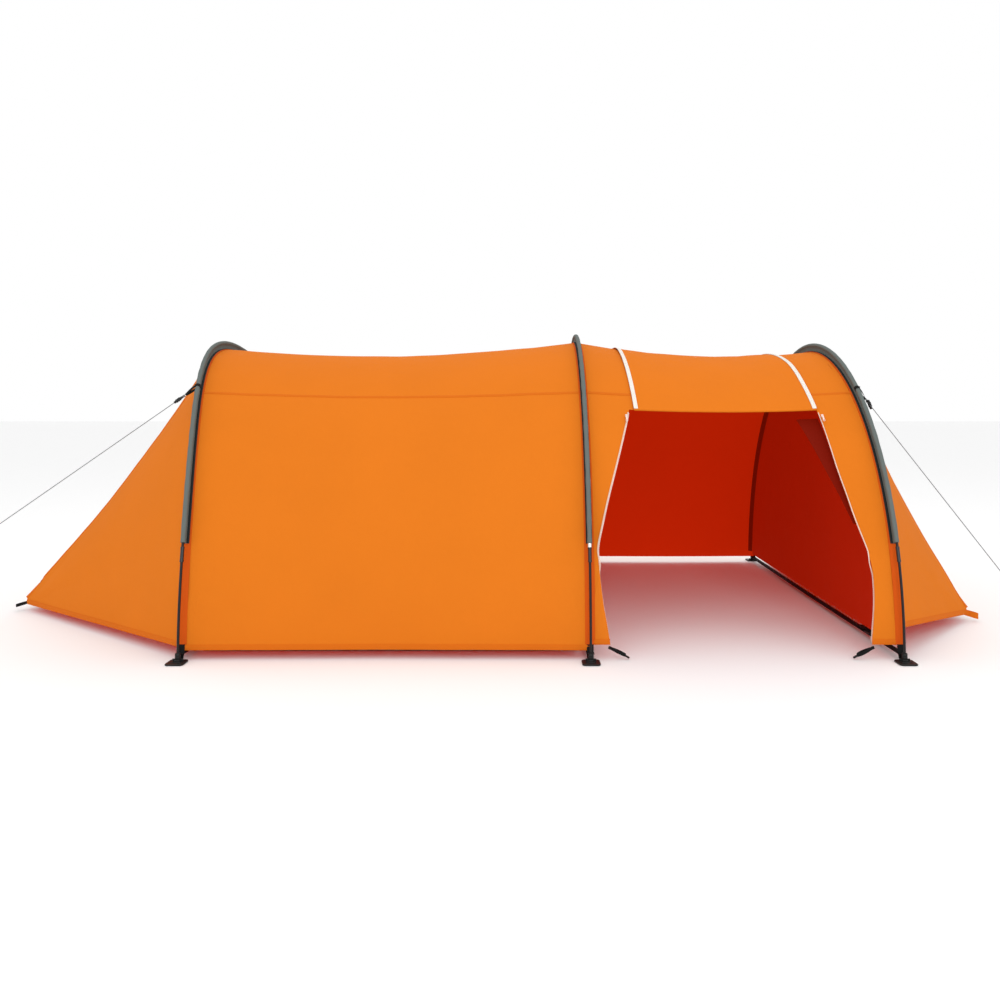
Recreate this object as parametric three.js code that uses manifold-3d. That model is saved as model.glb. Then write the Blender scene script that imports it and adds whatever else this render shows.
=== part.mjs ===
// A three-hoop tunnel tent, pitched, with its side door thrown back over the porch roof.
// Millimetres, +Z up, ground at z = 0. +X runs from the bedroom to the porch, -Y is the door side.
import * as THREE from "three";
import { mergeVertices } from "three/addons/utils/BufferGeometryUtils.js";
import Module from "manifold-3d";

const wasm = await Module();
wasm.setup();

// Driving dimensions
const HALF_SPAN = 868; // fabric half width at the ground
const HOOPS = {
  left: { x: -944, height: 1060, lean: -160 },
  middle: { x: 370, height: 1088, lean: 0 },
  right: { x: 1368, height: 1050, lean: 0 },
};
const FABRIC = 3; // thickness of the fabric solids
const SEAM = 1.5; // half the gap between two fabric panels
const ROOF_SAG = 42;
const WALL_SAG = 9;
const SEAM_HEIGHT = 868; // the seam between roof and side panels
const HEM_HEIGHT = 30;

const POLE_RADIUS = 4.25;
const POLE_OFFSET = 28; // pole centre outside the fabric
const SLEEVE_RADIUS = 7.5;
const SLEEVE_BORE = 6;
const SLEEVE_WEB = 3;
const SLEEVE_ROOT = 2; // the web ends this far outside the fabric
const SLEEVE_END_HEIGHT = 365;
const FERRULE = { inner: 5.6, outer: 6.8, length: 48, belowSleeve: 36 };
const HOOP_STEPS = 36;
const SLEEVE_STEPS = 27;
const ROUND = 4; // segments in half a turn of a round section

const DOOR = {
  foldHeight: 812,
  endAngle: THREE.MathUtils.degToRad(102),
  left: [550, 522], // x of the left edge at the fold and at the free end
  right: [1207, 1186],
  lift: 4, // clear of the porch roof
  length: 815, // from the fold to the free end
  strips: 4,
  stripGap: 14,
};
// Opening edges as [height, x], from the hem to the fold.
const JAMB_EDGES = {
  left: [[0, 442], [60, 434], [190, 412], [340, 396], [500, 437], [812, 535]],
  right: [[0, 1274], [60, 1278], [190, 1293], [300, 1292], [440, 1250], [600, 1223], [812, 1208]],
};
const JAMB_HEM = 48;
const ZIP = { width: 12, lift: 4.5, aboveHem: 6, belowFold: 30 };
const SLIDER = { width: 9, length: 26, corner: 3, thickness: 4, lift: 9, height: 778 };
const SLIDER_X = { left: 518, right: 1217 };

const APSES = {
  left: { hoop: "left", tip: -1838, halfTip: 210, hoopHem: 38, side: -1 },
  right: { hoop: "right", tip: 1838, halfTip: 380, hoopHem: 100, side: 1 },
};
const APSE_SEAM_ANGLE = THREE.MathUtils.degToRad(64);
const APSE_SAG = 26;
const APSE_SAG_FULL = 400; // height on the hoop above which a panel sags fully
const APSE_SEAM = 5;
const CORNER = { low: 26, sideTop: 46, endTop: 52 }; // heights of the panels at a pegged corner

const FOOT = {
  length: 58, width: 56, corner: 8, thickness: 5,
  socketOuter: 9, socketBore: 5.2, socketHeight: 30,
};
const FOOT_SLOT = { length: 30, width: 9, fromSocket: 20 };
const POLE_START = 8;
const STRAP = { width: 25, thickness: 2, height: 24, endGap: 2 };
const BUCKLE = { width: 34, length: 44, thickness: 5, y: -640, gap: 0.4 };

const PARTITIONS = {
  bedroom_partition: { hoop: "middle", beforeHoop: 30, hem: 30 },
  end_partition: { hoop: "right", beforeHoop: 14, hem: 45 },
};
const PARTITION_INSET = 16;
const FLOOR = { thickness: 2.5, endMargin: 34, sideMargin: 68 };

const LOOP = { length: 40, width: 24, corner: 5, thickness: 3, slotLength: 16, slotWidth: 10, slotY: 6 };
const LOOP_GAP = 5; // from an apse's tip to its loop
const JAMB_LOOPS = { left: 466, right: 1238 }; // x of their middles
const JAMB_LOOP_HEIGHT = 8;

const CORD_RADIUS = 1.4;
// Each guyline pulls from a tab on its hoop's sleeve, at this angle, to its end on the ground.
const GUYLINES = {
  left: { angle: THREE.MathUtils.degToRad(55), end: [-2060, -1080, 3] },
  right: { angle: THREE.MathUtils.degToRad(55), end: [1822, -1080, 3] },
};
const TAB = { width: 14, thickness: 4, length: 24, fromPole: 29, gap: 1 };
const RUNNER = { width: 12, length: 34, thickness: 8, bore: 2.4, at: 0.02 };

const group = new THREE.Group();
const { lerp } = THREE.MathUtils;

const LOOKS = {
  orange: { color: 0xea7e21, roughness: 0.75 },
  red: { color: 0xb21c00, roughness: 0.8 },
  sleeve: { color: 0x5f7373, roughness: 0.8 },
  black: { color: 0x141414, roughness: 0.5 },
  webbing: { color: 0x101010, roughness: 0.9 },
  steel: { color: 0xb8babc, roughness: 0.3, metalness: 1 },
  zip: { color: 0xf3ece4, roughness: 0.7 },
  floor: { color: 0x4a4f52, roughness: 0.8 },
  cord: { color: 0xb9bcc0, roughness: 0.8 },
};

function add(name, geometry, look) {
  const mesh = new THREE.Mesh(geometry, new THREE.MeshStandardMaterial(LOOKS[look]));
  mesh.name = name;
  group.add(mesh);
  return mesh;
}

function toSolid(geometry) {
  const bare = geometry.index ? geometry.toNonIndexed() : geometry.clone();
  bare.deleteAttribute("normal");
  bare.deleteAttribute("uv");
  const merged = mergeVertices(bare, 1e-3);
  return new wasm.Manifold(
    new wasm.Mesh({
      numProp: 3,
      vertProperties: merged.attributes.position.array,
      triVerts: new Uint32Array(merged.index.array),
    }),
  );
}

function toGeometry(solid) {
  const mesh = solid.getMesh();
  return new THREE.BufferGeometry()
    .setAttribute("position", new THREE.BufferAttribute(mesh.vertProperties, 3))
    .setIndex(new THREE.BufferAttribute(mesh.triVerts, 1));
}

// --- The fabric's shape ---

// Angle 0 is the near ground line of a hoop's half ellipse and PI the far one.
// "out" moves the point off the fabric, away from the inside.
function hoopPoint(hoop, angle, out = 0) {
  const normal = new THREE.Vector2(-Math.cos(angle) / HALF_SPAN, Math.sin(angle) / hoop.height);
  normal.setLength(out);
  return new THREE.Vector3(
    hoop.x + hoop.lean * Math.sin(angle) ** 3,
    -HALF_SPAN * Math.cos(angle) + normal.x,
    hoop.height * Math.sin(angle) + normal.y,
  );
}

// A bay hangs between two hoops: "along" is 0 at the first and 1 at the second.
function bayPoint(bay, along, angle, out = 0) {
  const swell = Math.sin(Math.PI * along);
  const sag = swell * (WALL_SAG + (ROOF_SAG - WALL_SAG) * Math.sin(angle) ** 4);
  const first = hoopPoint(HOOPS[bay[0]], angle, out - sag);
  return first.lerp(hoopPoint(HOOPS[bay[1]], angle, out - sag), along);
}

const BEDROOM = ["left", "middle"];
const PORCH = ["middle", "right"];

function bayHeight(bay, along) {
  return lerp(HOOPS[bay[0]].height, HOOPS[bay[1]].height, along);
}

function angleAt(height, bay, along) {
  return Math.asin(height / bayHeight(bay, along));
}

function bayLength(bay) {
  return HOOPS[bay[1]].x - HOOPS[bay[0]].x;
}

function porchAlong(x) {
  return (x - HOOPS.middle.x) / bayLength(PORCH);
}

// A closed fabric solid from a grid of outer points. pointAt(i, j) takes 0 to 1 each way, with i
// towards +X and j from the near side to the far side, so the cross product points outwards.
function sheet(pointAt, columns, rows) {
  const outer = [];
  const inner = [];
  const step = 1e-3;
  for (let c = 0; c <= columns; c++)
    for (let r = 0; r <= rows; r++) {
      const i = c / columns;
      const j = r / rows;
      const alongI = pointAt(Math.min(i + step, 1), j).sub(pointAt(Math.max(i - step, 0), j));
      const alongJ = pointAt(i, Math.min(j + step, 1)).sub(pointAt(i, Math.max(j - step, 0)));
      const point = pointAt(i, j);
      outer.push(point);
      inner.push(point.clone().addScaledVector(alongI.cross(alongJ).normalize(), -FABRIC));
    }
  const at = (c, r) => c * (rows + 1) + r;
  const index = [];
  const quad = (a, b, c, d) => index.push(a, b, c, a, c, d);
  for (let c = 0; c < columns; c++)
    for (let r = 0; r < rows; r++) {
      const corners = [at(c, r), at(c + 1, r), at(c + 1, r + 1), at(c, r + 1)];
      quad(...corners);
      quad(...corners.reverse().map((k) => k + outer.length));
    }
  const rim = [];
  for (let c = 0; c < columns; c++) rim.push(at(c, 0));
  for (let r = 0; r < rows; r++) rim.push(at(columns, r));
  for (let c = columns; c > 0; c--) rim.push(at(c, rows));
  for (let r = rows; r > 0; r--) rim.push(at(0, r));
  rim.forEach((a, k) => {
    const b = rim[(k + 1) % rim.length];
    quad(b, a, a + outer.length, b + outer.length);
  });
  return new THREE.BufferGeometry().setFromPoints([...outer, ...inner]).setIndex(index);
}

// --- Hoops: pole, sleeve, ferrules, feet and ground strap ---

class HoopCurve extends THREE.Curve {
  constructor(hoop, from) {
    super();
    this.hoop = hoop;
    this.from = from;
  }
  getPoint(t) {
    return hoopPoint(this.hoop, lerp(this.from, Math.PI - this.from, t), POLE_OFFSET);
  }
}

function roundedPlate(length, width, radius, thickness, hole) {
  const plate = new THREE.Shape();
  const x = length / 2 - radius;
  const y = width / 2 - radius;
  plate.absarc(x, y, radius, 0, Math.PI / 2);
  plate.absarc(-x, y, radius, Math.PI / 2, Math.PI);
  plate.absarc(-x, -y, radius, Math.PI, Math.PI * 1.5);
  plate.absarc(x, -y, radius, Math.PI * 1.5, Math.PI * 2);
  plate.closePath();
  if (hole) {
    const slot = new THREE.Path();
    slot.moveTo(-hole.length / 2, hole.y - hole.width / 2);
    slot.lineTo(hole.length / 2, hole.y - hole.width / 2);
    slot.lineTo(hole.length / 2, hole.y + hole.width / 2);
    slot.lineTo(-hole.length / 2, hole.y + hole.width / 2);
    slot.closePath();
    plate.holes.push(slot);
  }
  return new THREE.ExtrudeGeometry(plate, { depth: thickness, bevelEnabled: false, curveSegments: 1 });
}

function ring(inner, outer, low, high, segments) {
  const profile = [[inner, low], [outer, low], [outer, high], [inner, high], [inner, low]];
  return new THREE.LatheGeometry(profile.map((p) => new THREE.Vector2(...p)), segments)
    .rotateX(Math.PI / 2);
}

// The socket stands at the origin and the peg slot lies towards -Y.
function footGeometry() {
  const slot = { length: FOOT_SLOT.length, width: FOOT_SLOT.width, y: -FOOT_SLOT.fromSocket / 2 };
  const plate = roundedPlate(FOOT.length, FOOT.width, FOOT.corner, FOOT.thickness, slot);
  plate.translate(0, -FOOT_SLOT.fromSocket / 2, 0);
  const socket = ring(FOOT.socketBore, FOOT.socketOuter, FOOT.thickness - 1, FOOT.socketHeight, 10);
  return toGeometry(toSolid(plate).add(toSolid(socket)));
}

function addHoop(name) {
  const hoop = HOOPS[name];
  const round = new THREE.Shape().absarc(0, 0, POLE_RADIUS, 0, Math.PI * 2);
  const poleStart = Math.asin(POLE_START / hoop.height);
  const pole = { steps: HOOP_STEPS, curveSegments: ROUND, bevelEnabled: false };
  pole.extrudePath = new HoopCurve(hoop, poleStart);
  add(`pole_${name}`, new THREE.ExtrudeGeometry(round, pole), "black");

  const web = SLEEVE_WEB / 2;
  const root = -POLE_OFFSET + SLEEVE_ROOT;
  const join = Math.asin(web / SLEEVE_RADIUS);
  const fin = new THREE.Shape();
  fin.moveTo(-web, root);
  fin.lineTo(web, root);
  fin.absarc(0, 0, SLEEVE_RADIUS, -Math.PI / 2 + join, Math.PI * 1.5 - join);
  fin.closePath();
  fin.holes.push(new THREE.Path().absarc(0, 0, SLEEVE_BORE, 0, Math.PI * 2, true));
  const sleeveStart = Math.asin(SLEEVE_END_HEIGHT / hoop.height);
  const sleeve = { steps: SLEEVE_STEPS, curveSegments: ROUND, bevelEnabled: false };
  sleeve.extrudePath = new HoopCurve(hoop, sleeveStart);
  add(`sleeve_${name}`, new THREE.ExtrudeGeometry(fin, sleeve), "sleeve");

  for (const [side, sign] of [["near", -1], ["far", 1]]) {
    const angle = Math.asin((SLEEVE_END_HEIGHT - FERRULE.belowSleeve) / hoop.height);
    const away = sign < 0 ? angle : Math.PI - angle;
    const curve = new HoopCurve(hoop, poleStart);
    const place = (away - poleStart) / (Math.PI - 2 * poleStart);
    const tube = add(
      `ferrule_${name}_${side}`,
      ring(FERRULE.inner, FERRULE.outer, -FERRULE.length / 2, FERRULE.length / 2, 12),
      "steel",
    );
    tube.position.copy(curve.getPoint(place));
    tube.quaternion.setFromUnitVectors(new THREE.Vector3(0, 0, 1), curve.getTangent(place));

    const foot = add(`foot_${name}_${side}`, footGeometry(), "black");
    foot.position.set(hoop.x, sign * (HALF_SPAN + POLE_OFFSET), 0);
    foot.rotation.z = sign < 0 ? 0 : Math.PI;
  }

  const strapLength = 2 * (HALF_SPAN + POLE_OFFSET - FOOT.socketOuter - STRAP.endGap);
  const strap = new THREE.BoxGeometry(STRAP.width, strapLength, STRAP.thickness);
  strap.translate(hoop.x, 0, STRAP.height - STRAP.thickness / 2);
  add(`ground_strap_${name}`, strap, "webbing");
}

Object.keys(HOOPS).forEach(addHoop);

// --- Bedroom bay and porch bay ---

const COLUMNS = 9;

function baySheet(bay, alongFrom, alongTo, low, high, rows) {
  return sheet((i, j) => {
    const along = lerp(alongFrom, alongTo, i);
    return bayPoint(bay, along, lerp(low(along), high(along), j));
  }, COLUMNS, rows);
}

function addBay(name, bay, roofFoot) {
  const trim = 2 * SEAM / bayLength(bay);
  const seamGap = SEAM / HALF_SPAN;
  const hem = (along) => angleAt(HEM_HEIGHT, bay, along);
  const seam = (along) => angleAt(SEAM_HEIGHT, bay, along);
  const roofLow = (along) => angleAt(roofFoot, bay, along) + seamGap;
  const far = (edge, gap) => (along) => Math.PI - edge(along) + gap;
  const wide = (low, high, rows) => baySheet(bay, trim, 1 - trim, low, high, rows);
  add(`${name}_roof`, wide(roofLow, far(seam, -seamGap), 12), "orange");
  add(`${name}_wall_far`, wide(far(seam, seamGap), far(hem, 0), 6), "orange");
}

addBay("bedroom", BEDROOM, SEAM_HEIGHT);
addBay("porch", PORCH, DOOR.foldHeight);

function addBedroomWall() {
  const trim = 2 * SEAM / bayLength(BEDROOM);
  const low = (along) => angleAt(HEM_HEIGHT, BEDROOM, along);
  const high = (along) => angleAt(SEAM_HEIGHT, BEDROOM, along) - SEAM / HALF_SPAN;
  add("bedroom_wall_near", baySheet(BEDROOM, trim, 1 - trim, low, high, 6), "orange");
}

addBedroomWall();

function edgeX(edges, height) {
  const k = Math.min(edges.findIndex(([h]) => h >= height) || 1, edges.length - 1);
  const [h0, x0] = edges[k - 1];
  const [h1, x1] = edges[k];
  return lerp(x0, x1, (height - h0) / (h1 - h0));
}

function jambPoint(side, i, j) {
  const atHoop = side === "left" ? 2 * SEAM / bayLength(PORCH) : 1 - 2 * SEAM / bayLength(PORCH);
  const height = lerp(JAMB_HEM, DOOR.foldHeight - 2 * SEAM, j);
  const edge = porchAlong(edgeX(JAMB_EDGES[side], height));
  const along = side === "left" ? lerp(atHoop, edge, i) : lerp(edge, atHoop, i);
  return bayPoint(PORCH, along, angleAt(height, PORCH, along));
}

function addJamb(side) {
  add(`porch_jamb_${side}`, sheet((i, j) => jambPoint(side, i, j), 3, 12), "orange");
  const inset = side === "left" ? -ZIP.width : 0;
  add(
    `zip_${side}`,
    sheet((i, j) => {
      const height = lerp(JAMB_HEM + ZIP.aboveHem, DOOR.foldHeight - ZIP.belowFold, j);
      const x = edgeX(JAMB_EDGES[side], height) + inset + ZIP.width * i;
      const along = porchAlong(x);
      return bayPoint(PORCH, along, angleAt(height, PORCH, along), ZIP.lift);
    }, 1, 12),
    "zip",
  );
}

addJamb("left");
addJamb("right");

// --- Apses: three panels each, ruled from the hoop to the pegged corners ---

function apsePoint(apse, from, towards, r) {
  const point = from.clone().lerp(towards, r);
  point.x -= apse.side * APSE_SAG * Math.sin(Math.PI * r) * Math.min(1, from.z / APSE_SAG_FULL);
  return point;
}

function addApse(name) {
  const apse = APSES[name];
  const hoop = HOOPS[apse.hoop];
  const start = Math.asin(apse.hoopHem / hoop.height);
  const gap = APSE_SEAM / HALF_SPAN;
  const cornerGap = 1 - 2 * APSE_SEAM / apse.halfTip;
  const trim = 2 * SEAM / Math.abs(apse.tip - hoop.x);
  const side = [start, APSE_SEAM_ANGLE - gap];
  const end = [APSE_SEAM_ANGLE + gap, Math.PI - APSE_SEAM_ANGLE - gap];
  const { low, sideTop, endTop } = CORNER;
  const panels = {
    near: { angles: side, y: [-1, -1], z: [low, sideTop], rows: 8 },
    end: { angles: end, y: [-cornerGap, cornerGap], z: [endTop, endTop], rows: 6 },
    far: { angles: side.map((a) => Math.PI - a).reverse(), y: [1, 1], z: [sideTop, low], rows: 8 },
  };
  for (const [panel, { angles, y, z, rows }] of Object.entries(panels)) {
    const pointAt = (i, j) => {
      const corner = new THREE.Vector3(apse.tip, apse.halfTip * lerp(...y, j), lerp(...z, j));
      const rise = lerp(trim, 1, apse.side < 0 ? 1 - i : i);
      return apsePoint(apse, hoopPoint(hoop, lerp(...angles, j)), corner, rise);
    };
    add(`apse_${name}_${panel}`, sheet(pointAt, 6, rows), "orange");
  }
}

addApse("left");
addApse("right");

// --- Partitions and floor inside ---

function addPartition(name, { hoop: hoopName, beforeHoop, hem }) {
  const hoop = HOOPS[hoopName];
  const halfWidth = HALF_SPAN - PARTITION_INSET;
  const height = hoop.height - PARTITION_INSET;
  const outline = new THREE.Shape();
  const low = Math.asin(hem / height);
  outline.absellipse(0, 0, halfWidth, height, low, Math.PI - low);
  outline.closePath();
  const wall = new THREE.ExtrudeGeometry(outline, { depth: FABRIC, bevelEnabled: false, curveSegments: 12 });
  wall.rotateX(Math.PI / 2);
  wall.rotateZ(Math.PI / 2);
  wall.translate(hoop.x - beforeHoop, 0, 0);
  add(name, wall, "red");
}

for (const [name, place] of Object.entries(PARTITIONS)) addPartition(name, place);

const floor = new THREE.BoxGeometry(
  bayLength(BEDROOM) - 2 * FLOOR.endMargin,
  2 * (HALF_SPAN - FLOOR.sideMargin),
  FLOOR.thickness,
);
floor.translate(HOOPS.left.x + bayLength(BEDROOM) / 2, 0, FLOOR.thickness / 2);
add("bedroom_floor", floor, "floor");

// --- Door: strips of one panel, hinged to each other, lying back over the porch roof ---

function doorPoint(i, down) {
  const x = lerp(lerp(...DOOR.left, down), lerp(...DOOR.right, down), i);
  const along = porchAlong(x);
  const angle = lerp(angleAt(DOOR.foldHeight, PORCH, along), DOOR.endAngle, down);
  return bayPoint(PORCH, along, angle, DOOR.lift + FABRIC);
}

for (let k = 0; k < DOOR.strips; k++) {
  const gap = DOOR.stripGap / 2 / DOOR.length;
  const from = k / DOOR.strips + gap;
  const to = (k + 1) / DOOR.strips - gap;
  add(`door_strip_${k + 1}`, sheet((i, j) => doorPoint(i, lerp(from, to, j)), 6, 3), "orange");
}

// --- Zip sliders, peg loops, buckle, guy tabs, guylines and runners ---

for (const [side, x] of Object.entries(SLIDER_X)) {
  const along = porchAlong(x);
  const angle = angleAt(SLIDER.height, PORCH, along);
  const plate = roundedPlate(SLIDER.width, SLIDER.length, SLIDER.corner, SLIDER.thickness);
  const pull = add(`zip_slider_${side}`, plate, "zip");
  const foot = bayPoint(PORCH, along, angle, SLIDER.lift);
  const out = bayPoint(PORCH, along, angle, SLIDER.lift + 1).sub(foot);
  pull.position.copy(foot);
  pull.quaternion.setFromUnitVectors(new THREE.Vector3(0, 0, 1), out.normalize());
}

// A webbing loop that lies flat, with its slot's long side across the pull.
function addLoop(name, x, y, z, turn) {
  const slot = { length: LOOP.slotLength, width: LOOP.slotWidth, y: LOOP.slotY };
  const plate = roundedPlate(LOOP.width, LOOP.length, LOOP.corner, LOOP.thickness, slot);
  const loop = add(name, plate, "webbing");
  loop.position.set(x, y, z);
  loop.rotation.z = turn;
}

for (const [name, apse] of Object.entries(APSES))
  for (const [side, sign] of [["near", -1], ["far", 1]]) {
    const x = apse.tip + apse.side * (LOOP.length / 2 + LOOP_GAP);
    addLoop(`peg_loop_${name}_${side}`, x, sign * apse.halfTip, CORNER.low, -apse.side * Math.PI / 2);
  }
for (const [side, x] of Object.entries(JAMB_LOOPS)) {
  const turn = (side === "left" ? -1 : 1) * Math.PI / 2;
  addLoop(`peg_loop_jamb_${side}`, x, -HALF_SPAN, JAMB_LOOP_HEIGHT, turn);
}

const buckle = new THREE.BoxGeometry(BUCKLE.width, BUCKLE.length, BUCKLE.thickness);
const buckleZ = STRAP.height + BUCKLE.gap + BUCKLE.thickness / 2;
buckle.translate(HOOPS.right.x, BUCKLE.y, buckleZ);
add("strap_buckle", buckle, "black");

function addGuyline(name, { angle, end }) {
  const onSleeve = hoopPoint(HOOPS[name], angle, POLE_OFFSET);
  const pull = new THREE.Vector3(...end).sub(onSleeve).normalize();
  const start = onSleeve.clone().addScaledVector(pull, TAB.fromPole + TAB.length + TAB.gap);
  const curve = new THREE.LineCurve3(start, new THREE.Vector3(...end));
  const section = new THREE.Shape().absarc(0, 0, CORD_RADIUS, 0, Math.PI * 2);
  const sweep = { steps: 1, curveSegments: ROUND, bevelEnabled: false, extrudePath: curve };
  add(`guyline_${name}`, new THREE.ExtrudeGeometry(section, sweep), "cord");

  const up = new THREE.Vector3(0, 0, 1);
  const body = toSolid(new THREE.BoxGeometry(RUNNER.width, RUNNER.thickness, RUNNER.length));
  const bore = new THREE.CylinderGeometry(RUNNER.bore, RUNNER.bore, RUNNER.length + 2, 10);
  const cut = body.subtract(toSolid(bore.rotateX(Math.PI / 2)));
  const runner = add(`guy_runner_${name}`, toGeometry(cut), "black");
  runner.position.copy(curve.getPoint(RUNNER.at));
  runner.quaternion.setFromUnitVectors(up, pull);

  for (const [side, sign] of [["near", 1], ["far", -1]]) {
    const piece = new THREE.BoxGeometry(TAB.width, TAB.thickness, TAB.length);
    const tab = add(`guy_tab_${name}_${side}`, piece, "webbing");
    tab.position.copy(onSleeve).addScaledVector(pull, TAB.fromPole + TAB.length / 2);
    tab.position.y *= sign;
    tab.quaternion.setFromUnitVectors(up, new THREE.Vector3(pull.x, sign * pull.y, pull.z));
  }
}

for (const [name, line] of Object.entries(GUYLINES)) addGuyline(name, line);

export default group;
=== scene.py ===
"""A pitched three-hoop tunnel tent: cloth, poles, zips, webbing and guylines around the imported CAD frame.

Metres, +Z up, +X along the tent towards the porch, -Y towards the door side.
"""
import math

import bmesh
import bpy
import numpy as np
from mathutils import Matrix, Vector


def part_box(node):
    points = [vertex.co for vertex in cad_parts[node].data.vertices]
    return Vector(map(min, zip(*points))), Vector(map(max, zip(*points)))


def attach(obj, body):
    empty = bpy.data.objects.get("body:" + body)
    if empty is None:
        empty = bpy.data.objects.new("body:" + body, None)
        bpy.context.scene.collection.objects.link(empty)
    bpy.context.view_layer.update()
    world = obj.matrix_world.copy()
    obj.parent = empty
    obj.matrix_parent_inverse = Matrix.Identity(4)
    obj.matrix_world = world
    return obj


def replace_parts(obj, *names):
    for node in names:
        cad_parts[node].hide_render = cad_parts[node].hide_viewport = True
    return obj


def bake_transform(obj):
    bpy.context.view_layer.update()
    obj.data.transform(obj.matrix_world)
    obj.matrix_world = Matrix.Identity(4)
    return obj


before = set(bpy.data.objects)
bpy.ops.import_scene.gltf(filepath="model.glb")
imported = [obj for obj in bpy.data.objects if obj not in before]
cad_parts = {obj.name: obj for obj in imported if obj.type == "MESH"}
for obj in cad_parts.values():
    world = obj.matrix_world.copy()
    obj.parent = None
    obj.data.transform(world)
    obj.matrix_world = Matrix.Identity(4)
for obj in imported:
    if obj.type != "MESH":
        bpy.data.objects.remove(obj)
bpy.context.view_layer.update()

# ---- driving sizes, from the frame

POLE_RADIUS = 0.00425
POLE_OFFSET = 0.028  # from the fabric out to the pole's centre
HALF_SPAN = 0.868
ROOF_SAG = 0.042
WALL_SAG = 0.009
SEAM_HEIGHT = 0.868
HEM_HEIGHT = 0.030
CLOTH = 0.0014
DOOR_FOLD = 0.812  # height of the fold that the door hangs from
DOOR_END = math.radians(102)
DOOR_LEFT = (0.550, 0.522)  # x at the fold and at the hem
DOOR_RIGHT = (1.207, 1.186)
DOOR_LIFT = 0.0055
JAMB_HEM = 0.048
SLEEVE_END = 0.365
SLEEVE_RADIUS = 0.0078
SIDES = {"near": -1, "far": 1}
JAMB_EDGES = {
    "left": [(0, 0.442), (0.060, 0.434), (0.190, 0.412), (0.340, 0.396), (0.500, 0.437), (0.812, 0.535)],
    "right": [(0, 1.274), (0.060, 1.278), (0.190, 1.293), (0.300, 1.292), (0.440, 1.250), (0.600, 1.223),
              (0.812, 1.208)],
}


def hoop_from_frame(name):
    """x at the feet, height of the fabric and how far its top leans along x."""
    low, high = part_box("pole_" + name)
    foot_low, foot_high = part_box(f"foot_{name}_near")
    x = (foot_low[0] + foot_high[0]) / 2
    lean = low[0] + POLE_RADIUS - x
    return {"x": x, "height": high[2] - POLE_OFFSET - POLE_RADIUS, "lean": lean if lean < -0.01 else 0.0}


HOOPS = {name: hoop_from_frame(name) for name in ("left", "middle", "right")}
BEDROOM = ("left", "middle")
PORCH = ("middle", "right")
APSES = {
    "left": {"hoop": "left", "tip": -1.838, "half_tip": 0.210, "hoop_hem": 0.038, "side": -1},
    "right": {"hoop": "right", "tip": 1.838, "half_tip": 0.380, "hoop_hem": 0.100, "side": 1},
}
APSE_SEAM = math.radians(64)
APSE_SAG = 0.026
CORNER_LOW = 0.026
CORNER_HIGH = 0.052

# ---- camera, as in the reference view

CAMERA_AT = (0.170, -3.53, 0.800)
FOCAL = 0.828  # focal length as a share of the frame's width
camera_data = bpy.data.cameras.new("camera")
camera_data.sensor_width = 36
camera_data.lens = 36 * FOCAL
camera_data.shift_x = -0.028
camera_data.shift_y = -0.089
camera_data.clip_end = 200
camera = bpy.data.objects.new("camera", camera_data)
camera.location = CAMERA_AT
camera.rotation_euler = (math.pi / 2, 0, 0)
bpy.context.scene.collection.objects.link(camera)
bpy.context.scene.camera = camera

# ---- materials


class Nodes:
    """Short-hand for a material's node tree."""

    def __init__(self, name, color, roughness, metallic=0.0):
        self.material = bpy.data.materials.new(name)
        self.material.use_nodes = True
        self.tree = self.material.node_tree
        self.shader = self.tree.nodes["Principled BSDF"]
        self.shader.inputs["Base Color"].default_value = (*color, 1)
        self.shader.inputs["Roughness"].default_value = roughness
        self.shader.inputs["Metallic"].default_value = metallic
        self.color = color

    def add(self, kind, **values):
        node = self.tree.nodes.new(kind)
        for key, value in values.items():
            if key in node.inputs:
                node.inputs[key].default_value = value
            else:
                setattr(node, key, value)
        return node

    def link(self, out, into):
        self.tree.links.new(out, into)

    def coordinates(self, kind="Object", scale=(1, 1, 1)):
        source = self.add("ShaderNodeTexCoord")
        mapping = self.add("ShaderNodeMapping", Scale=scale)
        self.link(source.outputs[kind], mapping.inputs["Vector"])
        return mapping.outputs["Vector"]

    def noise(self, vector, scale, detail=3.0):
        node = self.add("ShaderNodeTexNoise", Scale=scale, Detail=detail)
        self.link(vector, node.inputs["Vector"])
        return node.outputs["Fac"]

    def wave(self, vector, scale, axis):
        node = self.add("ShaderNodeTexWave", Scale=scale, bands_direction=axis)
        self.link(vector, node.inputs["Vector"])
        return node.outputs["Fac"]

    def math(self, kind, a, b):
        node = self.add("ShaderNodeMath", operation=kind)
        for socket, value in zip(node.inputs, (a, b)):
            if isinstance(value, float):
                socket.default_value = value
            else:
                self.link(value, socket)
        return node.outputs[0]

    def tint(self, fac, dark, light):
        """Base colour that runs between two shares of the material's own colour."""
        mix = self.add("ShaderNodeMix", data_type="RGBA")
        colors = [s for s in mix.inputs if s.name in "AB" and s.type == "RGBA"]
        colors[0].default_value = (*[min(c * dark, 1) for c in self.color], 1)
        colors[1].default_value = (*[min(c * light, 1) for c in self.color], 1)
        self.link(fac, mix.inputs["Factor"])
        result = [s for s in mix.outputs if s.type == "RGBA"][0]
        self.link(result, self.shader.inputs["Base Color"])

    def bump(self, height, strength, distance):
        node = self.add("ShaderNodeBump", Strength=strength, Distance=distance)
        self.link(height, node.inputs["Height"])
        self.link(node.outputs["Normal"], self.shader.inputs["Normal"])


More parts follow.
